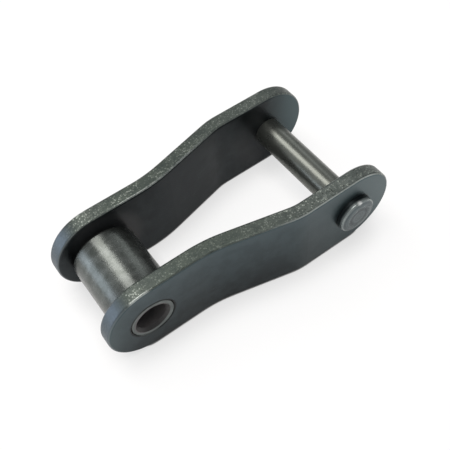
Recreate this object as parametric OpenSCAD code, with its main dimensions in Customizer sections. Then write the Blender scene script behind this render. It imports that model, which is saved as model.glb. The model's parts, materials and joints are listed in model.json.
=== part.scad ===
// Offset link of a long-pitch roller chain.
// The bush axis is the Y axis, the pin axis lies one pitch along +X, and +Z is up.
// The link stands on the lower edges of its two cranked plates.

/* [Chain] */
// Pitch, from the bush axis to the pin axis
pitch = 38.1; // [32:0.1:60]
// Clear width between the plates at the bush end
narrow_inside = 13.6; // [10:0.1:20]
// Room on each side for a neighbour's bush end between the plates at the pin end
side_clearance = 0.9; // [0.3:0.05:2]

/* [Link plates] */
// Height of a plate, and the diameter of its round ends
plate_height = 16; // [13:0.1:22]
// Thickness of a plate
plate_thickness = 2.75; // [2:0.05:4]
// Rounding along the edges of a plate
plate_edge_radius = 0.45; // [0.1:0.05:0.8]
// Angle of the crank to the chain's run
crank_angle = 13.5; // [9:0.5:18]
// Distance of the crank's middle from the middle of the pitch, towards the bush
crank_shift = 0.5; // [-2:0.05:2]
// Radius of the bend nearer the bush, at mid thickness
narrow_bend_radius = 26; // [8:0.5:40]
// Radius of the bend nearer the pin, at mid thickness
wide_bend_radius = 11; // [6:0.5:40]
// Chamfer round the bush hole on the outer face
bush_hole_chamfer = 0.15; // [0.05:0.05:0.4]

/* [Pin] */
// Diameter of the pin
pin_diameter = 5.3; // [4:0.1:7]
// Reach of a riveted head past the pin's shank, all round
head_overhang = 0.9; // [0.4:0.05:1.5]
// Height of a riveted head above the plate
head_height = 1.55; // [0.8:0.05:2]
// Rounding of a head's rim
head_rim_radius = 0.4; // [0.1:0.05:0.7]
// Width of the sloping band between a head's flat face and its rim
head_slope_width = 0.6; // [0.3:0.05:1.2]
// Drop of that sloping band
head_slope_drop = 0.15; // [0.05:0.05:0.3]
// Distance of the round groove that riveting leaves from the edge of the flat face
head_groove_inset = 0.4; // [0.2:0.05:0.8]
// Depth of that groove
head_groove_depth = 0.08; // [0.02:0.01:0.15]

/* [Bush] */
// Radial running clearance of a neighbour's pin in the bush
pin_clearance = 0.05; // [0.01:0.01:0.1]
// Wall of the bush
bush_wall = 1.25; // [0.9:0.05:2]
// Chamfer at the mouths of the bush's bore
bush_mouth_chamfer = 0.5; // [0.1:0.05:0.6]
// Chamfer round the outside of the bush's ends
bush_rim_chamfer = 0.2; // [0.05:0.05:0.25]

/* [Roller] */
// Outside diameter of the roller
roller_diameter = 11.6; // [11:0.1:16]
// Radial running clearance of the roller on the bush
roller_clearance = 0.08; // [0.02:0.01:0.1]
// Gap between each end of the roller and its plate, with the roller in the middle
roller_end_gap = 0.6; // [0.1:0.05:0.8]
// Share of that gap by which the loose roller lies towards the near plate
roller_lean = 0.6; // [0:0.1:0.8]
// Rounding of the roller's edges
roller_edge_radius = 0.4; // [0.1:0.05:0.7]

/* [Hidden] */
$fn = 96;

// The pin end takes a neighbour's bush end, plates included, between its own plates
wide_inside = narrow_inside + 2 * plate_thickness + 2 * side_clearance;
narrow_y = (narrow_inside + plate_thickness) / 2;
wide_y = (wide_inside + plate_thickness) / 2;
// A fillet takes up at most this share of its wall
fillet_share = 0.45;
plate_edge_r = min(plate_edge_radius, fillet_share * plate_thickness);

// Crank: two bends of opposite sense with a straight line between them.
// The bends shrink together where they would leave no room for the line.
crank_offset = wide_y - narrow_y;
bend_share = 0.95;
bend_limit = bend_share * crank_offset / (1 - cos(crank_angle));
bend_scale = min(1, bend_limit / (narrow_bend_radius + wide_bend_radius));
narrow_bend_r = narrow_bend_radius * bend_scale;
wide_bend_r = wide_bend_radius * bend_scale;
bend_sum = narrow_bend_r + wide_bend_r;
crank_line = (crank_offset - bend_sum * (1 - cos(crank_angle))) / sin(crank_angle);
crank_run = bend_sum * sin(crank_angle) + crank_line * cos(crank_angle);
narrow_straight = (pitch - crank_run) / 2 - crank_shift;
wide_straight = (pitch - crank_run) / 2 + crank_shift;

// Bush, flush with the outer faces of the plates
bush_bore_d = pin_diameter + 2 * pin_clearance;
bush_od = bush_bore_d + 2 * bush_wall;
bush_length = narrow_inside + 2 * plate_thickness;
mouth_chamfer = min(bush_mouth_chamfer, fillet_share * bush_wall);
rim_chamfer = min(bush_rim_chamfer, fillet_share * bush_wall);

// Roller
roller_bore_d = bush_od + 2 * roller_clearance;
roller_wall = (roller_diameter - roller_bore_d) / 2;
roller_length = narrow_inside - 2 * roller_end_gap;
roller_y = -roller_lean * roller_end_gap;
roller_edge_r = min(roller_edge_radius, fillet_share * roller_wall);

// Pin, with its heads seated on the outer faces of the plates
pin_span = wide_inside + 2 * plate_thickness;
head_r = pin_diameter / 2 + head_overhang;
head_rim_r = min(head_rim_radius, fillet_share * head_height);
head_rim_z = head_height - head_slope_drop - head_rim_r;
head_face_r = head_r - head_rim_r - head_slope_width;
head_groove_r = head_face_r - head_groove_inset;

// Tools that cut a hole run this far past the face
cut_past = 1;

// Rectangle with rounded corners, centred
module rounded_rect(size, radius) {
    inner = [size.x - 2 * radius, size.y - 2 * radius];
    square([size.x, inner.y], center = true);
    square([inner.x, size.y], center = true);
    for (side_x = [-1, 1], side_y = [-1, 1])
        translate([side_x * inner.x / 2, side_y * inner.y / 2])
            circle(radius);
}

// Cross-section of a plate: thickness across, height up
module plate_section() {
    rounded_rect([plate_thickness, plate_height], plate_edge_r);
}

// Straight stretch of a plate along +X
module plate_straight(length) {
    rotate([90, 0, 90])
        linear_extrude(length)
            plate_section();
}

// Bend of a plate about a vertical axis, from +X through the crank's angle.
// The cut that ends it is square to the straight stretch that follows.
module plate_bend(radius) {
    reach = radius + plate_thickness;
    intersection() {
        rotate_extrude(angle = 90)
            translate([radius, 0])
                plate_section();
        rotate(crank_angle)
            translate([0, -reach, -plate_height])
                cube([reach, reach, 2 * plate_height]);
    }
}

// Half-round end of a plate about the Y axis, on the side of -X
module plate_end() {
    rotate([90, 0, 0])
        rotate(90)
            rotate_extrude(angle = 180)
                intersection() {
                    rotate(90)
                        plate_section();
                    translate([0, -plate_thickness])
                        square([plate_height, 2 * plate_thickness]);
                }
}

// Hole through a plate along Y
module plate_hole(diameter) {
    rotate([90, 0, 0])
        cylinder(h = plate_thickness + 2 * cut_past, d = diameter, center = true);
}

// Break of a hole's edge on the outer face, which is the one on the side of +Y
module outer_chamfer(diameter, chamfer) {
    translate([0, plate_thickness / 2 - chamfer, 0])
        rotate([-90, 0, 0])
            cylinder(h = 2 * chamfer, d1 = diameter, d2 = diameter + 4 * chamfer);
}

// Outline of a plate on the side of +Y, each stretch starting where the last one ends
module cranked_bar() {
    translate([0, narrow_y, 0]) {
        plate_end();
        plate_straight(narrow_straight);
    }
    translate([narrow_straight, narrow_y + narrow_bend_r, 0]) {
        rotate(-90)
            plate_bend(narrow_bend_r);
        rotate(crank_angle)
            translate([0, -narrow_bend_r, 0]) {
                plate_straight(crank_line);
                translate([crank_line, -wide_bend_r, 0])
                    rotate(-crank_angle)
                        wide_stretch();
            }
    }
}

// Pin end of a plate, from the centre of the bend nearer the pin
module wide_stretch() {
    rotate(90)
        plate_bend(wide_bend_r);
    translate([0, wide_bend_r, 0]) {
        plate_straight(wide_straight);
        translate([wide_straight, 0, 0])
            rotate(180)
                plate_end();
    }
}

// Plate on the side of +Y with its two holes
module cranked_plate() {
    difference() {
        cranked_bar();
        translate([0, narrow_y, 0]) {
            plate_hole(bush_od);
            outer_chamfer(bush_od, bush_hole_chamfer);
        }
        translate([pitch, wide_y, 0])
            plate_hole(pin_diameter);
    }
}

module far_link_plate() {
    color("#40474b")
        cranked_plate();
}

module near_link_plate() {
    color("#485055")
        mirror([0, 1, 0])
            cranked_plate();
}

// Tube pressed into the bush holes
module bush() {
    bore_r = bush_bore_d / 2;
    outer_r = bush_od / 2;
    half = bush_length / 2;
    color("#6a6f70")
        rotate([90, 0, 0])
            rotate_extrude()
                polygon([
                    [bore_r, -half + mouth_chamfer],
                    [bore_r + mouth_chamfer, -half],
                    [outer_r - rim_chamfer, -half],
                    [outer_r, -half + rim_chamfer],
                    [outer_r, half - rim_chamfer],
                    [outer_r - rim_chamfer, half],
                    [bore_r + mouth_chamfer, half],
                    [bore_r, half - mouth_chamfer]
                ]);
}

// Loose tube that turns on the bush
module roller() {
    color("#6f6f68")
        translate([0, roller_y, 0])
            rotate([90, 0, 0])
                rotate_extrude()
                    translate([(roller_bore_d + roller_wall) / 2, 0])
                        rounded_rect([roller_wall, roller_length], roller_edge_r);
}

// Half profile of a riveted head: radius across, height above the plate up
module head_profile() {
    difference() {
        union() {
            polygon([
                [0, 0],
                [head_r, 0],
                [head_r, head_rim_z],
                [head_r - head_rim_r, head_rim_z + head_rim_r],
                [head_face_r, head_height],
                [0, head_height]
            ]);
            translate([head_r - head_rim_r, head_rim_z])
                circle(head_rim_r);
        }
        translate([head_groove_r, head_height])
            circle(head_groove_depth);
    }
}

// Pin riveted over both plates at the wide end
module pin() {
    color("#5c6263")
        translate([pitch, 0, 0])
            rotate([90, 0, 0]) {
                cylinder(h = pin_span, d = pin_diameter, center = true);
                for (side = [0, 1])
                    mirror([0, 0, side])
                        translate([0, 0, pin_span / 2])
                            rotate_extrude()
                                head_profile();
            }
}

near_link_plate();
far_link_plate();
bush();
roller();
pin();
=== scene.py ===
import json
import math
import bpy
import bmesh
from mathutils import Matrix, Vector

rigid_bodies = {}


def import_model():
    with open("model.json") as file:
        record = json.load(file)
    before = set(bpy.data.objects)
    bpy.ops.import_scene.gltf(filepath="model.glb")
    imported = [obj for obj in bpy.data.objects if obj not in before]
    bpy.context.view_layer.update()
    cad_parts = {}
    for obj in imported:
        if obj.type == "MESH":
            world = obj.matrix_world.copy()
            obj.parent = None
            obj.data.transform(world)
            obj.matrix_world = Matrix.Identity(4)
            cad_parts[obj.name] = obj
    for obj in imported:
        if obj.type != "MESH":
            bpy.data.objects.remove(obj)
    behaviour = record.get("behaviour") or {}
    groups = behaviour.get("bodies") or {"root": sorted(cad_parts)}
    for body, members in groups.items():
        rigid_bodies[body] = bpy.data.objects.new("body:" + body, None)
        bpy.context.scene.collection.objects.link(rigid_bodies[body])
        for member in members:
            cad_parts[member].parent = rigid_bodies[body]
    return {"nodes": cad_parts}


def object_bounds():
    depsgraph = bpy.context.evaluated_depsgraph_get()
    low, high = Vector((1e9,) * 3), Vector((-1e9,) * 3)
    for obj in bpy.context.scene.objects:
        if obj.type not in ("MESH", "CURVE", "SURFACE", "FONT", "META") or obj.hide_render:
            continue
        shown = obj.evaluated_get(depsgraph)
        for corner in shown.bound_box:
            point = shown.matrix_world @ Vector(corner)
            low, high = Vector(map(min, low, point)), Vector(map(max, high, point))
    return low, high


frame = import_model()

# anything the startup file left behind would count as a piece
for leftover in [o for o in bpy.data.objects if o.name in ("Cube", "Light", "Camera")]:
    bpy.data.objects.remove(leftover)
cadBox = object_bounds()
scene = bpy.context.scene
scene.view_settings.view_transform = "Standard"
millimetre = 0.001
print("frame loaded:", ", ".join(sorted(frame["nodes"])))


# small helpers for building node trees

def linear(channel):
    if channel <= 0.04045:
        return channel / 12.92
    return ((channel + 0.055) / 1.055) ** 2.4


def colour(code):  # "#rrggbb" as a scene colour
    parts = [int(code[i:i + 2], 16) / 255 for i in (1, 3, 5)]
    return tuple(linear(p) for p in parts) + (1.0,)


def newNode(tree, kind, **settings):
    node = tree.nodes.new(kind)
    for name, value in settings.items():
        setattr(node, name, value)
    return node


def feed(tree, source, socket):  # a socket is linked, anything else is set as the value
    if isinstance(source, bpy.types.NodeSocket):
        tree.links.new(source, socket)
    else:
        socket.default_value = source


def maths(tree, operation, first, second=None, clamp=False):
    node = newNode(tree, "ShaderNodeMath", operation=operation, use_clamp=clamp)
    feed(tree, first, node.inputs[0])
    if second is not None:
        feed(tree, second, node.inputs[1])
    return node.outputs[0]


def times(tree, *factors):
    product = factors[0]
    for factor in factors[1:]:
        product = maths(tree, "MULTIPLY", product, factor)
    return product


def inverse(tree, mask):
    return maths(tree, "SUBTRACT", 1.0, mask)


def vectorMaths(tree, operation, first, second=None):
    node = newNode(tree, "ShaderNodeVectorMath", operation=operation)
    feed(tree, first, node.inputs[0])
    if second is not None:
        feed(tree, second, node.inputs[1])
    return node.outputs["Value" if operation == "LENGTH" else "Vector"]


def splitAxes(tree, vector):
    node = newNode(tree, "ShaderNodeSeparateXYZ")
    feed(tree, vector, node.inputs[0])
    return [node.outputs[axis] for axis in "XYZ"]


def alongAxis(tree, normal):  # how squarely a surface faces along Y
    return maths(tree, "ABSOLUTE", splitAxes(tree, normal)[1])


def fromYAxis(tree, vector, axis):  # distance from a line that runs along Y through the point axis
    local = vectorMaths(tree, "SUBTRACT", vector, axis)
    return vectorMaths(tree, "LENGTH", vectorMaths(tree, "MULTIPLY", local, (1.0, 0.0, 1.0)))


def ramp(tree, value, low, high, start=0.0, end=1.0):  # smooth step from low to high
    node = newNode(tree, "ShaderNodeMapRange", interpolation_type="SMOOTHSTEP")
    sources = {"Value": value, "From Min": low, "From Max": high, "To Min": start, "To Max": end}
    for name, source in sources.items():
        feed(tree, source, node.inputs[name])
    return node.outputs["Result"]


def zone(tree, length, span, levels=(0.0, 1.0)):  # ramp over a span that is given in millimetres
    low, high = (s * millimetre for s in span)
    return ramp(tree, length, low, high, *levels)


def blendValue(tree, factor, first, second):
    node = newNode(tree, "ShaderNodeMix", data_type="FLOAT")
    for source, socket in zip((factor, first, second), (node.inputs[0], node.inputs[2], node.inputs[3])):
        feed(tree, source, socket)
    return node.outputs[0]


def blendColour(tree, factor, first, second):
    node = newNode(tree, "ShaderNodeMix", data_type="RGBA")
    for source, socket in zip((factor, first, second), (node.inputs[0], node.inputs[6], node.inputs[7])):
        feed(tree, source, socket)
    return node.outputs[2]


def noise(tree, vector, scale, detail=2.0, roughness=0.5):
    node = newNode(tree, "ShaderNodeTexNoise")
    sources = {"Vector": vector, "Scale": scale, "Detail": detail, "Roughness": roughness}
    for name, source in sources.items():
        feed(tree, source, node.inputs[name])
    return node.outputs["Fac"]


def newGroup(name, inputs, outputs):  # inputs and outputs as (label, socket kind)
    tree = bpy.data.node_groups.new(name, "ShaderNodeTree")
    for label, kind in inputs:
        tree.interface.new_socket(name=label, in_out="INPUT", socket_type="NodeSocket" + kind)
    for label, kind in outputs:
        tree.interface.new_socket(name=label, in_out="OUTPUT", socket_type="NodeSocket" + kind)
    return tree, tree.nodes.new("NodeGroupInput").outputs, tree.nodes.new("NodeGroupOutput").inputs


def useGroup(tree, group, **values):  # grainScale fills the input Grain Scale
    node = newNode(tree, "ShaderNodeGroup", node_tree=group)
    for name, value in values.items():
        label = "".join(" " + c if c.isupper() else c for c in name).strip().title()
        feed(tree, value, node.inputs[label])
    return node.outputs


# effects that several of the steels share

def makeSteelGrain():
    tree, given, result = newGroup(
        "steelGrain",
        [("Vector", "Vector"), ("Grain Scale", "Float"), ("Mottle Scale", "Float"), ("Fleck Share", "Float")],
        [("Grain", "Float"), ("Mottle", "Float"), ("Flecks", "Float"), ("Pits", "Float")])
    fine = noise(tree, given["Vector"], given["Grain Scale"], detail=3.0, roughness=0.6)
    broad = noise(tree, given["Vector"], given["Mottle Scale"], detail=4.0, roughness=0.55)
    feed(tree, ramp(tree, fine, 0.25, 0.75), result["Grain"])
    feed(tree, ramp(tree, broad, 0.3, 0.7), result["Mottle"])
    # single crumbs of the surface, some of them bright and some of them pitted
    crumbs = newNode(tree, "ShaderNodeTexVoronoi")
    feed(tree, given["Vector"], crumbs.inputs["Vector"])
    feed(tree, given["Grain Scale"], crumbs.inputs["Scale"])
    chance = newNode(tree, "ShaderNodeSeparateColor")
    feed(tree, crumbs.outputs["Color"], chance.inputs[0])
    crumb = ramp(tree, crumbs.outputs["Distance"], 0.6, 0.3)
    plain = inverse(tree, given["Fleck Share"])
    bright = ramp(tree, chance.outputs["Red"], plain, 1.0)
    pitted = ramp(tree, chance.outputs["Green"], plain, 1.0)
    feed(tree, times(tree, crumb, bright), result["Flecks"])
    feed(tree, times(tree, crumb, pitted), result["Pits"])
    return tree


# every piece has its thickness or its axis along Y, so a rounded edge is where the
# normal is neither along Y nor square to it
def makeEdgeWear():
    tree, given, result = newGroup(
        "edgeWear",
        [("Vector", "Vector"), ("Normal", "Vector"), ("Patch Scale", "Float"), ("Cover", "Float")],
        [("Wear", "Float"), ("Corner", "Float")])
    facing = alongAxis(tree, given["Normal"])
    corner = times(tree, ramp(tree, facing, 0.12, 0.45), ramp(tree, facing, 0.97, 0.8))
    patches = noise(tree, given["Vector"], given["Patch Scale"], detail=4.0, roughness=0.6)
    bare = maths(tree, "SUBTRACT", 0.75, times(tree, given["Cover"], 0.5))
    rubbed = ramp(tree, patches, maths(tree, "SUBTRACT", bare, 0.16), maths(tree, "ADD", bare, 0.1))
    feed(tree, times(tree, corner, rubbed), result["Wear"])
    feed(tree, corner, result["Corner"])
    return tree


# fine lines that turning and grinding leave: rings on an end, hoops on a barrel
def makeTurnedLines():
    tree, given, result = newGroup(
        "turnedLines",
        [("Vector", "Vector"), ("Axis", "Vector"), ("Line Scale", "Float")],
        [("Lines", "Float"), ("Radius", "Float")])
    radius = fromYAxis(tree, given["Vector"], given["Axis"])
    across, along, _ = splitAxes(tree, vectorMaths(tree, "SUBTRACT", given["Vector"], given["Axis"]))
    unrolled = newNode(tree, "ShaderNodeCombineXYZ")
    feed(tree, radius, unrolled.inputs["X"])
    feed(tree, along, unrolled.inputs["Y"])
    feed(tree, times(tree, across, 0.02), unrolled.inputs["Z"])  # keeps the rings from being perfect
    lines = noise(tree, unrolled.outputs[0], given["Line Scale"], roughness=0.7)
    feed(tree, ramp(tree, lines, 0.3, 0.7), result["Lines"])
    feed(tree, radius, result["Radius"])
    return tree


# oil and dirt that gather in the ring where a round piece meets a plate
def makeOilSeam():
    tree, given, result = newGroup(
        "oilSeam",
        [("Vector", "Vector"), ("Axis", "Vector"), ("Seam Radius", "Float"), ("Seam Width", "Float")],
        [("Seam", "Float")])
    radius = fromYAxis(tree, given["Vector"], given["Axis"])
    uneven = times(tree, noise(tree, given["Vector"], 900.0, detail=3.0), 0.7)
    width = times(tree, given["Seam Width"], maths(tree, "ADD", uneven, 0.65))
    away = maths(tree, "ABSOLUTE", maths(tree, "SUBTRACT", radius, given["Seam Radius"]))
    feed(tree, ramp(tree, maths(tree, "DIVIDE", away, width), 1.0, 0.25), result["Seam"])
    return tree


# hairline marks from tumbling and handling
def makeScuffs():
    tree, given, result = newGroup(
        "scuffs",
        [("Vector", "Vector"), ("Mark Scale", "Float"), ("Lean", "Vector")],
        [("Marks", "Float")])
    turned = newNode(tree, "ShaderNodeMapping", vector_type="POINT")
    feed(tree, given["Vector"], turned.inputs["Vector"])
    feed(tree, given["Lean"], turned.inputs["Rotation"])
    turned.inputs["Scale"].default_value = (1.0, 1.0, 26.0)  # drawn out into hairs
    hair = noise(tree, turned.outputs[0], given["Mark Scale"], detail=1.0, roughness=0.3)
    thin = maths(tree, "ABSOLUTE", maths(tree, "SUBTRACT", hair, 0.5))
    patches = noise(tree, given["Vector"], times(tree, given["Mark Scale"], 1.7))
    sparse = ramp(tree, patches, 0.52, 0.66)
    feed(tree, times(tree, ramp(tree, thin, 0.012, 0.003), sparse), result["Marks"])
    return tree


steelGrain = makeSteelGrain()
edgeWear = makeEdgeWear()
turnedLines = makeTurnedLines()
oilSeam = makeOilSeam()
scuffs = makeScuffs()
print("shared effects ready:", ", ".join(g.name for g in bpy.data.node_groups))

pitch = 38.1 * millimetre
bushAxis = (0.0, 0.0, 0.0)
pinAxis = (pitch, 0.0, 0.0)


def newSteel(name):
    steel = bpy.data.materials.new(name)
    steel.use_nodes = True
    tree = steel.node_tree
    shader = tree.nodes["Principled BSDF"]
    shader.inputs["Metallic"].default_value = 1.0
    spot = newNode(tree, "ShaderNodeTexCoord")
    return steel, tree, shader, spot.outputs["Object"], spot.outputs["Normal"]


def addBump(tree, shader, height, depth, strength):
    bump = newNode(tree, "ShaderNodeBump")
    bump.inputs["Distance"].default_value = depth
    bump.inputs["Strength"].default_value = strength
    feed(tree, height, bump.inputs["Height"])
    feed(tree, bump.outputs[0], shader.inputs["Normal"])


def dress(nodeName, steel):
    piece = frame["nodes"][nodeName]
    piece.data.materials.clear()
    piece.data.materials.append(steel)


# blackened plates: smooth teal-black faces, grainy rims left by the blanking tool
linkPlate = {
    "faceShadedFoot": "#172023",
    "faceLitCrown": "#445054",
    "insideDark": "#2b2f31",
    "insideLight": "#33383a",
    "insideDull": "#303234",
    "insideCrankShade": "#22282b",
    "bushEndLit": "#4d5a5c",
    "pinEndLit": "#4b5a5d",
    "rimDark": "#3b4240",
    "rimLight": "#4d554f",
    "rimLitDark": "#515856",
    "rimLitLight": "#6e7571",
    "rimRound": "#576066",
    "rimFleck": "#9aa29b",
    "rimPit": "#303532",
    "wear": "#bcc3c0",
    "oil": "#15181a",
    "mark": "#5b6466",
    "faceRoughness": (0.30, 0.38),
    "rimRoughness": (0.40, 0.56),
    "wearRoughness": 0.28,
    "height": 16.0 * millimetre,
    "bumpDepth": 0.03 * millimetre,
    "bumpStrength": 0.5,
    # rings of oil, as radius and width
    "bushSeam": (4.05 * millimetre, 0.3 * millimetre),
    "headSeam": (3.55 * millimetre, 0.22 * millimetre),
    "shankSeam": (2.7 * millimetre, 0.3 * millimetre),
    # where each finish starts and where it is full, in millimetres
    "zones": {
        "roundEnd": (-2.5, -5.5),
        "bushEnd": (-1.5, -8.0),
        "pinEnd": (21.0, 45.0),
        "pinEndInside": (37.0, 45.0),
        "outside": (1.0, 3.0),
        "farSide": (-1.0, 1.0),
        "topBand": (5.5, 8.0),
        "bushLightRise": (-6.0, 1.0),
        "dullRing": (9.5, 6.0),
        "dullFrom": (-6.0, -2.0),
        "besidePin": (10.0, 5.0),
        "besidePinUntil": (39.0, 36.0),
        "crankFrom": (8.0, 14.0),
        "crankUntil": (26.0, 20.0),
        "rimCrumbles": (20.0, 29.0),
        "rimBrightens": (12.0, 40.0),
        "overBush": (2.4, 0.8),
        "bareHighlightFrom": (16.0, 33.0),
        "bareHighlightUntil": (44.0, 40.0),
        "innerLineFrom": (2.0, 8.0),
        "innerLineUntil": (27.0, 20.0),
    },
}


def makePlateSteel(look):
    zones = look["zones"]
    steel, tree, shader, where, normal = newSteel("blackenedPlateSteel")
    facing = alongAxis(tree, normal)
    placeX, placeY, placeZ = splitAxes(tree, where)
    normalY = splitAxes(tree, normal)[1]
    roundEnd = zone(tree, placeX, zones["roundEnd"])
    rim = blendValue(tree, roundEnd, ramp(tree, facing, 0.93, 0.72), ramp(tree, facing, 0.99, 0.35))
    outside = zone(tree, times(tree, placeY, normalY), zones["outside"])
    inside = inverse(tree, outside)
    farSide = zone(tree, placeY, zones["farSide"])

    face = useGroup(tree, steelGrain, vector=where, grainScale=6500.0, mottleScale=380.0, fleckShare=0.3)
    edge = useGroup(tree, steelGrain, vector=where, grainScale=3300.0, mottleScale=480.0, fleckShare=0.75)
    worn = useGroup(tree, edgeWear, vector=where, normal=normal, patchScale=360.0, cover=0.8)
    marks = useGroup(tree, scuffs, vector=where, markScale=160.0, lean=(0.3, 0.5, 0.2))
    seams = {}
    for name, axis in (("bushSeam", bushAxis), ("headSeam", pinAxis), ("shankSeam", pinAxis)):
        radius, width = look[name]
        ring = useGroup(tree, oilSeam, vector=where, axis=axis, seamRadius=radius, seamWidth=width)
        seams[name] = ring["Seam"]

    # painted shade and light: the outer faces are darker towards the foot and lighter along the top, as the
    # floor they mirror is shaded near the plate, and painted lighter at both ends
    shadeToLight = maths(tree, "DIVIDE", placeZ, look["height"])
    shadeToLight = maths(tree, "ADD", shadeToLight, ramp(tree, face["Mottle"], 0.0, 1.0, 0.40, 0.58))
    shadeToLight = maths(tree, "ADD", shadeToLight, zone(tree, placeZ, zones["topBand"], (0.0, 0.2)), clamp=True)
    outerTone = blendColour(tree, shadeToLight, colour(look["faceShadedFoot"]), colour(look["faceLitCrown"]))

    # painted shade: the inner faces are darker on the crank; round the roller and beside the pin they turn a
    # duller, less metallic grey
    dullPatch = zone(tree, fromYAxis(tree, where, bushAxis), zones["dullRing"])
    dullPatch = times(tree, dullPatch, zone(tree, placeX, zones["dullFrom"]))
    besidePin = zone(tree, fromYAxis(tree, where, pinAxis), zones["besidePin"], (0.0, 0.45))
    besidePin = times(tree, besidePin, zone(tree, placeX, zones["besidePinUntil"]))
    dullPatch = times(tree, maths(tree, "MAXIMUM", dullPatch, besidePin), inside)
    crankShade = zone(tree, placeX, zones["crankFrom"])
    crankShade = times(tree, crankShade, zone(tree, placeX, zones["crankUntil"]), 0.7)
    innerTone = blendColour(tree, face["Mottle"], colour(look["insideDark"]), colour(look["insideLight"]))
    innerTone = blendColour(tree, crankShade, innerTone, colour(look["insideCrankShade"]))
    innerTone = blendColour(tree, dullPatch, innerTone, colour(look["insideDull"]))

    faceTone = blendColour(tree, outside, innerTone, outerTone)
    # painted light: the faces are lighter at the bush end, more so higher up, and at the pin end, inside and
    # out
    bushEndLight = zone(tree, placeZ, zones["bushLightRise"], (0.2, 0.55))
    bushEndLight = times(tree, zone(tree, placeX, zones["bushEnd"]), bushEndLight, outside)
    faceTone = blendColour(tree, bushEndLight, faceTone, colour(look["bushEndLit"]))
    pinEndLightInside = zone(tree, placeX, zones["pinEndInside"], (0.0, 0.85))
    pinEndLight = blendValue(tree, outside, pinEndLightInside, zone(tree, placeX, zones["pinEnd"]))
    faceTone = blendColour(tree, pinEndLight, faceTone, colour(look["pinEndLit"]))
    faceTone = blendColour(tree, times(tree, marks["Marks"], 0.3), faceTone, colour(look["mark"]))

    # the rims: blue-grey round the bush end, then grainy, most of all near the pin; painted light makes them
    # lighter towards the pin end, less so on the far plate
    rimMix = times(tree, maths(tree, "ADD", edge["Grain"], edge["Mottle"]), 0.5)
    rimTone = blendColour(tree, rimMix, colour(look["rimDark"]), colour(look["rimLight"]))
    rimLit = blendColour(tree, rimMix, colour(look["rimLitDark"]), colour(look["rimLitLight"]))
    rimLitToPin = zone(tree, placeX, zones["rimBrightens"])
    rimLitToPin = times(tree, rimLitToPin, ramp(tree, farSide, 0.0, 1.0, 1.0, 0.6))
    rimTone = blendColour(tree, rimLitToPin, rimTone, rimLit)
    overBush = maths(tree, "ABSOLUTE", maths(tree, "ADD", placeX, 1.2 * millimetre))
    overBush = zone(tree, overBush, zones["overBush"])
    nearPin = times(tree, zone(tree, placeX, zones["rimCrumbles"]), inverse(tree, farSide))
    crumbly = maths(tree, "MAXIMUM", times(tree, farSide, 0.6), maths(tree, "ADD", nearPin, 0.25))
    crumbly = maths(tree, "MAXIMUM", crumbly, times(tree, overBush, 0.7), clamp=True)
    crumbly = times(tree, crumbly, ramp(tree, edge["Mottle"], 0.0, 0.8, 0.35, 1.0))
    pits = times(tree, edge["Pits"], crumbly)
    flecks = times(tree, edge["Flecks"], crumbly)
    rimTone = blendColour(tree, pits, rimTone, colour(look["rimPit"]))
    rimTone = blendColour(tree, flecks, rimTone, colour(look["rimFleck"]))
    rimTone = blendColour(tree, roundEnd, rimTone, colour(look["rimRound"]))
    tone = blendColour(tree, rim, faceTone, rimTone)

    # partly worn edge, partly painted highlight: a light line on the outer edge, a touch over the bush, then
    # growing along to the pin
    towardPin = times(tree, zone(tree, placeX, zones["bareHighlightFrom"]), zone(tree, placeX, zones["bareHighlightUntil"]))
    bareLineAndHighlight = times(tree, maths(tree, "MAXIMUM", overBush, towardPin), outside)
    bareLineAndHighlight = ramp(tree, bareLineAndHighlight, 0.0, 1.0, 0.1, 0.9)
    thinLine = times(tree, ramp(tree, facing, 0.4, 0.6), ramp(tree, facing, 0.93, 0.8))
    edgeLineAndHighlight = times(tree, worn["Wear"], thinLine, bareLineAndHighlight)
    bushTouch = times(tree, overBush, outside, worn["Corner"], 0.75)
    edgeLineAndHighlight = maths(tree, "MAXIMUM", edgeLineAndHighlight, bushTouch)
    tone = blendColour(tree, edgeLineAndHighlight, tone, colour(look["wear"]))

    # and one on the inner edge of the far plate's crank
    innerRun = times(tree, zone(tree, placeX, zones["innerLineFrom"]), farSide)
    innerRun = times(tree, innerRun, zone(tree, placeX, zones["innerLineUntil"]), inside)
    innerLine = ramp(tree, edge["Grain"], 0.3, 0.7, 0.15, 0.55)
    innerLine = times(tree, worn["Corner"], innerRun, innerLine)
    tone = blendColour(tree, innerLine, tone, colour(look["wear"]))

    outerSeam = times(tree, maths(tree, "MAXIMUM", seams["bushSeam"], seams["headSeam"]), outside)
    innerSeam = times(tree, seams["shankSeam"], inside, 0.5)
    seam = times(tree, maths(tree, "MAXIMUM", outerSeam, innerSeam), 0.8)
    tone = blendColour(tree, seam, tone, colour(look["oil"]))
    feed(tree, tone, shader.inputs["Base Color"])
    feed(tree, ramp(tree, dullPatch, 0.0, 1.0, 1.0, 0.35), shader.inputs["Metallic"])

    faceRough = blendValue(tree, face["Grain"], *look["faceRoughness"])
    rimRough = blendValue(tree, edge["Grain"], *look["rimRoughness"])
    rough = blendValue(tree, rim, faceRough, rimRough)
    rough = blendValue(tree, times(tree, worn["Wear"], 0.7), rough, look["wearRoughness"])
    feed(tree, rough, shader.inputs["Roughness"])

    pitting = maths(tree, "SUBTRACT", edge["Grain"], pits)
    relief = blendValue(tree, rim, times(tree, face["Grain"], 0.12), pitting)
    addBump(tree, shader, relief, look["bumpDepth"], look["bumpStrength"])
    return steel


plateSteel = makePlateSteel(linkPlate)
dress("near_link_plate", plateSteel)
dress("far_link_plate", plateSteel)
print("link plates dressed")


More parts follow.
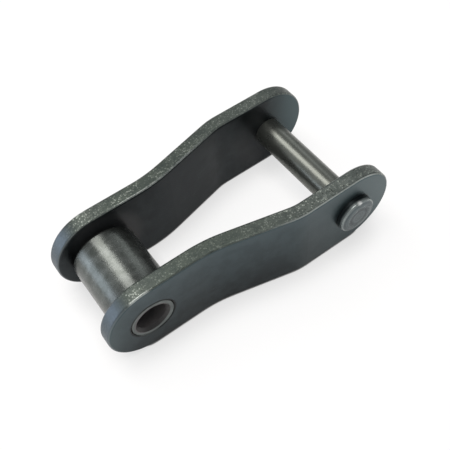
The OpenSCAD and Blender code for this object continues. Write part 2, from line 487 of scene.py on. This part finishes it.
# bush: turned ring flush with the plate, mouth and bore brown with old oil
bushTube = {
    "ring": "#7b8280",
    "ringDark": "#5a605f",
    "bore": "#484748",
    "boreLight": "#575555",
    "wear": "#969b99",
    "oil": "#151515",
    "mouth": "#232222",
    "roughness": (0.28, 0.42),
    "boreMetallic": 0.2,
    "mouthEdge": (3.41, 3.24),   # in millimetres from the axis
    "mouthShift": (-0.13 * millimetre, 0.0, 0.13 * millimetre),   # the dark mouth sits off to one side
    "outerRadius": 3.95 * millimetre,
    "seamWidth": 0.24 * millimetre,
    "lineScale": 5200.0,
    "bumpDepth": 0.012 * millimetre,
    "bumpStrength": 0.4,
}


def makeBushSteel(look):
    steel, tree, shader, where, normal = newSteel("turnedBushSteel")
    turned = useGroup(tree, turnedLines, vector=where, axis=bushAxis, lineScale=look["lineScale"])
    grain = useGroup(tree, steelGrain, vector=where, grainScale=5200.0, mottleScale=420.0, fleckShare=0.3)
    worn = useGroup(tree, edgeWear, vector=where, normal=normal, patchScale=700.0, cover=0.7)
    seam = useGroup(
        tree, oilSeam, vector=where, axis=bushAxis,
        seamRadius=look["outerRadius"], seamWidth=look["seamWidth"])
    inside = zone(tree, fromYAxis(tree, where, look["mouthShift"]), look["mouthEdge"])
    ringMix = times(tree, turned["Lines"], grain["Mottle"])
    ringTone = blendColour(tree, ringMix, colour(look["ringDark"]), colour(look["ring"]))
    ringTone = blendColour(tree, times(tree, worn["Wear"], 0.4), ringTone, colour(look["wear"]))
    ringTone = blendColour(tree, times(tree, seam["Seam"], 0.85), ringTone, colour(look["oil"]))
    boreTone = blendColour(tree, grain["Mottle"], colour(look["bore"]), colour(look["boreLight"]))
    boreTone = blendColour(tree, worn["Corner"], boreTone, colour(look["mouth"]))
    feed(tree, blendColour(tree, inside, ringTone, boreTone), shader.inputs["Base Color"])
    feed(tree, ramp(tree, inside, 0.0, 1.0, 1.0, look["boreMetallic"]), shader.inputs["Metallic"])
    feed(tree, blendValue(tree, turned["Lines"], *look["roughness"]), shader.inputs["Roughness"])
    addBump(tree, shader, turned["Lines"], look["bumpDepth"], look["bumpStrength"])
    return steel


dress("bush", makeBushSteel(bushTube))
print("bush dressed")


# roller: tumbled barrel with a mottled satin shine
loneRoller = {
    "dark": "#4d524f",
    "light": "#646967",
    "fleck": "#7b807c",
    "endShade": "#2c2e2e",
    "wear": "#868b86",
    "mark": "#80857f",
    "roughness": (0.20, 0.31),
    "metallic": 0.87,   # the rest is a film of oil
    "darkensToEnd": (2.5, 6.2),   # in millimetres from the middle
    "bumpDepth": 0.02 * millimetre,
    "bumpStrength": 0.25,
}


def makeRollerSteel(look):
    steel, tree, shader, where, normal = newSteel("tumbledRollerSteel")
    facing = alongAxis(tree, normal)
    turned = useGroup(tree, turnedLines, vector=where, axis=bushAxis, lineScale=3400.0)
    grain = useGroup(tree, steelGrain, vector=where, grainScale=4200.0, mottleScale=640.0, fleckShare=0.35)
    worn = useGroup(tree, edgeWear, vector=where, normal=normal, patchScale=500.0, cover=0.8)
    marks = useGroup(tree, scuffs, vector=where, markScale=240.0, lean=(0.9, 0.2, 0.4))
    blotch = maths(tree, "ADD", times(tree, grain["Mottle"], 0.8), times(tree, turned["Lines"], 0.2))
    tone = blendColour(tree, blotch, colour(look["dark"]), colour(look["light"]))
    tone = blendColour(tree, times(tree, grain["Flecks"], 0.2), tone, colour(look["fleck"]))
    tone = blendColour(tree, times(tree, marks["Marks"], 0.4), tone, colour(look["mark"]))
    # painted shade: the barrel darkens towards both ends, close to the plates, and its end faces are darker
    fromMiddle = maths(tree, "ABSOLUTE", splitAxes(tree, where)[1])
    shadeTowardEnd = zone(tree, fromMiddle, look["darkensToEnd"], (0.0, 0.4))
    tone = blendColour(tree, shadeTowardEnd, tone, colour(look["endShade"]))
    tone = blendColour(tree, ramp(tree, facing, 0.8, 0.97), tone, colour(look["endShade"]))
    tone = blendColour(tree, times(tree, worn["Wear"], 0.3), tone, colour(look["wear"]))
    feed(tree, tone, shader.inputs["Base Color"])
    shader.inputs["Metallic"].default_value = look["metallic"]
    rough = times(tree, maths(tree, "ADD", grain["Grain"], grain["Mottle"]), 0.5)
    feed(tree, blendValue(tree, rough, *look["roughness"]), shader.inputs["Roughness"])
    height = maths(tree, "ADD", times(tree, turned["Lines"], 0.1), grain["Grain"])
    addBump(tree, shader, height, look["bumpDepth"], look["bumpStrength"])
    return steel


dress("roller", makeRollerSteel(loneRoller))
print("roller dressed")


# pin: smoothly ground shank, heads spun over by riveting
rivetedPin = {
    "shankDark": "#5d615d",
    "shankLight": "#626661",
    "headDark": "#3f474a",
    "headLight": "#707a7c",
    "rolled": "#878f8e",
    "nick": "#e4e8e7",
    "headGlintAt": (38.15 * millimetre, -14.45 * millimetre, 3.4 * millimetre),
    "headGlintReach": 0.62 * millimetre,
    "oil": "#16181a",
    "shankRoughness": (0.27, 0.30),
    "shankMetallic": 0.78,   # the rest is a film of oil
    "headRoughness": (0.30, 0.42),
    "rimRoughness": 0.18,   # rolled smooth by the riveting tool
    "rimMetallic": 0.6,
    "headFrom": (13.15, 13.25),   # in millimetres from the middle
    "oilyFoot": (14.15, 13.7),
    "bumpDepth": 0.025 * millimetre,
    "bumpStrength": 0.45,
}


def makePinSteel(look):
    steel, tree, shader, where, normal = newSteel("rivetedPinSteel")
    facing = alongAxis(tree, normal)
    fromMiddle = maths(tree, "ABSOLUTE", splitAxes(tree, where)[1])
    head = zone(tree, fromMiddle, look["headFrom"])
    foot = zone(tree, fromMiddle, look["oilyFoot"])
    turned = useGroup(tree, turnedLines, vector=where, axis=pinAxis, lineScale=1500.0)
    grain = useGroup(tree, steelGrain, vector=where, grainScale=4200.0, mottleScale=560.0, fleckShare=0.3)
    worn = useGroup(tree, edgeWear, vector=where, normal=normal, patchScale=600.0, cover=0.85)
    rolled = times(tree, head, inverse(tree, foot), ramp(tree, facing, 0.97, 0.85))
    shankTone = blendColour(tree, grain["Mottle"], colour(look["shankDark"]), colour(look["shankLight"]))
    headMix = maths(tree, "ADD", times(tree, turned["Lines"], 0.75), times(tree, grain["Mottle"], 0.25))
    headTone = blendColour(tree, headMix, colour(look["headDark"]), colour(look["headLight"]))
    headTone = blendColour(tree, times(tree, rolled, 0.7), headTone, colour(look["rolled"]))
    headTone = blendColour(tree, times(tree, foot, 0.7), headTone, colour(look["oil"]))
    # painted highlight: one bright glint on the near head's rim
    fromHeadGlint = vectorMaths(tree, "LENGTH", vectorMaths(tree, "SUBTRACT", where, look["headGlintAt"]))
    nick = ramp(tree, fromHeadGlint, look["headGlintReach"], 0.2 * look["headGlintReach"])
    nick = times(tree, nick, ramp(tree, facing, 0.99, 0.9, 0.3, 1.0))
    headTone = blendColour(tree, nick, headTone, colour(look["nick"]))
    feed(tree, blendColour(tree, head, shankTone, headTone), shader.inputs["Base Color"])
    headMetallic = blendValue(tree, rolled, 1.0, look["rimMetallic"])
    feed(tree, blendValue(tree, head, look["shankMetallic"], headMetallic), shader.inputs["Metallic"])
    shankRough = blendValue(tree, grain["Mottle"], *look["shankRoughness"])
    headRough = blendValue(tree, grain["Grain"], *look["headRoughness"])
    headRough = blendValue(tree, worn["Corner"], headRough, look["rimRoughness"])
    feed(tree, blendValue(tree, head, shankRough, headRough), shader.inputs["Roughness"])
    headHeight = maths(tree, "ADD", turned["Lines"], times(tree, grain["Mottle"], 1.5))
    shankHeight = times(tree, grain["Grain"], 0.05)
    height = blendValue(tree, head, shankHeight, headHeight)
    addBump(tree, shader, height, look["bumpDepth"], look["bumpStrength"])
    return steel


dress("pin", makePinSteel(rivetedPin))
print("pin dressed")


# what a floor or a backdrop shows to the camera, and to metal for a share of it
def seenShare(tree, mirrorShare):
    path = newNode(tree, "ShaderNodeLightPath")
    mirrored = maths(tree, "MAXIMUM", path.outputs["Is Glossy Ray"], path.outputs["Is Transmission Ray"])
    return maths(tree, "MAXIMUM", path.outputs["Is Camera Ray"], times(tree, mirrored, mirrorShare))


# pale table top under the lower edges of the plates
tableTop = {
    "radius": 1.2,
    "below": 0.01 * millimetre,
    "paper": "#eeeeee",
    "shadeShare": 0.16,   # how much of the real shadow shows
    "whiteShare": 0.83,
    "mirrorShare": 0.25,   # how much of that lift the metal sees
    "wedge": 0.5 * millimetre,   # reach of the dark line under the rounded lower edges
    "wedgeShade": 0.02,
    "softReach": 6.5 * millimetre,   # and of the soft shade round the foot
    "softShade": 0.79,
}


def makeTableTop(look):
    mesh = bpy.data.meshes.new("tableTop")
    shape = bmesh.new()
    bmesh.ops.create_circle(shape, cap_ends=True, segments=96, radius=look["radius"])
    shape.to_mesh(mesh)
    shape.free()
    top = bpy.data.objects.new("tableTop", mesh)
    top.location.z = cadBox[0].z - look["below"]
    scene.collection.objects.link(top)
    paper = bpy.data.materials.new("paleTablePaper")
    paper.use_nodes = True
    tree = paper.node_tree
    tree.nodes.remove(tree.nodes["Principled BSDF"])
    lit = newNode(tree, "ShaderNodeBsdfDiffuse")
    lit.inputs["Color"].default_value = colour(look["paper"])
    shade = newNode(tree, "ShaderNodeBsdfDiffuse")
    shade.inputs["Color"].default_value = (look["shadeShare"],) * 3 + (1.0,)
    white = newNode(tree, "ShaderNodeEmission")
    white.inputs["Strength"].default_value = look["whiteShare"]
    wedge = newNode(tree, "ShaderNodeAmbientOcclusion")
    wedge.inputs["Distance"].default_value = look["wedge"]
    soft = newNode(tree, "ShaderNodeAmbientOcclusion")
    soft.inputs["Distance"].default_value = look["softReach"]
    tint = ramp(tree, soft.outputs["AO"], 0.45, 1.0, look["softShade"], 1.0)
    tint = times(tree, tint, ramp(tree, wedge.outputs["AO"], 0.4, 0.7, look["wedgeShade"], 1.0))
    feed(tree, tint, white.inputs["Color"])
    shown = newNode(tree, "ShaderNodeAddShader")
    feed(tree, shade.outputs[0], shown.inputs[0])
    feed(tree, white.outputs[0], shown.inputs[1])
    choose = newNode(tree, "ShaderNodeMixShader")
    feed(tree, seenShare(tree, look["mirrorShare"]), choose.inputs[0])
    feed(tree, lit.outputs[0], choose.inputs[1])
    feed(tree, shown.outputs[0], choose.inputs[2])
    feed(tree, choose.outputs[0], tree.nodes["Material Output"].inputs["Surface"])
    mesh.materials.append(paper)


makeTableTop(tableTop)
print("table top in place")


# a long strip overhead, a weak one behind, a cool window low on the left
lamps = {
    "overheadStrip": {
        "toward": (0.0, 0.20, 0.97), "distance": 0.45, "sideways": -0.068,
        "size": (0.216, 0.60), "power": 2.05, "tint": "#fff8f4"},
    "backStrip": {
        "toward": (0.65, 0.49, 0.58), "distance": 0.45, "sideways": 0.0,
        "size": (0.05, 0.25), "power": 0.06, "tint": "#ffffff"},
    "leftWindow": {
        "toward": (-0.84, 0.48, 0.19), "distance": 0.55, "sideways": 0.0,
        "size": (0.50, 0.22), "power": 0.82, "tint": "#e8efff"},
}
middle = (cadBox[0] + cadBox[1]) / 2


def makeLamp(name, look):
    light = bpy.data.lights.new(name, "AREA")
    light.shape = "RECTANGLE"
    light.size, light.size_y = look["size"]
    light.energy = look["power"]
    light.color = colour(look["tint"])[:3]
    lamp = bpy.data.objects.new(name, light)
    aim = Vector(look["toward"]).normalized()
    lamp.location = middle + aim * look["distance"] + Vector((look["sideways"], 0.0, 0.0))
    lamp.rotation_euler = (-aim).to_track_quat("-Z", "Y").to_euler()
    scene.collection.objects.link(lamp)


for lampName, lampLook in lamps.items():
    makeLamp(lampName, lampLook)


# soft light from the room itself, with a white backdrop for the camera
roomLight = {
    "horizon": 0.52,
    "overhead": 0.43,
    "fade": 0.7,
    "leftGlow": 0.3,
    "mirrorShare": 0.4,   # how much of the white backdrop the metal sees
}


def makeRoom(look):
    room = bpy.data.worlds.new("room")
    room.use_nodes = True
    scene.world = room
    tree = room.node_tree
    spot = newNode(tree, "ShaderNodeTexCoord")
    sideways, _, rise = splitAxes(tree, spot.outputs["Generated"])
    level = ramp(tree, rise, 0.0, look["fade"], look["horizon"], look["overhead"])
    level = maths(tree, "ADD", level, ramp(tree, sideways, -0.15, -0.6, 0.0, look["leftGlow"]))
    level = maths(tree, "MAXIMUM", level, seenShare(tree, look["mirrorShare"]))
    backdrop = tree.nodes["Background"]
    backdrop.inputs["Color"].default_value = (1.0, 1.0, 1.0, 1.0)
    feed(tree, level, backdrop.inputs["Strength"])


makeRoom(roomLight)
print("lamps and room light in place")


# camera, as the photograph was taken: close by, above the bush end
viewpoint = {
    "azimuth": -31.7329,
    "elevation": 55.3666,
    "roll": -5.1665,
    "lens": 54.053,
    "sensor": 36.0,
    "clip": (0.005, 10.0),
    "aim": (19.186 * millimetre, -2.1507 * millimetre, 0.0),
    "distance": 114.9281 * millimetre,
}


def makeCamera(look):
    turn, rise, roll = (math.radians(look[k]) for k in ("azimuth", "elevation", "roll"))
    right = Vector((math.cos(turn), math.sin(turn), 0.0))
    back = Vector((math.sin(turn) * math.cos(rise), -math.cos(turn) * math.cos(rise), math.sin(rise)))
    up = back.cross(right)
    rolledRight = right * math.cos(roll) + up * math.sin(roll)
    rolledUp = up * math.cos(roll) - right * math.sin(roll)
    lens = bpy.data.cameras.new("photoCamera")
    lens.lens = look["lens"]
    lens.sensor_width = look["sensor"]
    lens.clip_start, lens.clip_end = look["clip"]
    camera = bpy.data.objects.new("photoCamera", lens)
    turned = Matrix((rolledRight, rolledUp, back)).transposed().to_4x4()
    camera.matrix_world = Matrix.Translation(Vector(look["aim"]) + back * look["distance"]) @ turned
    scene.collection.objects.link(camera)
    scene.camera = camera


makeCamera(viewpoint)
print("camera in place")
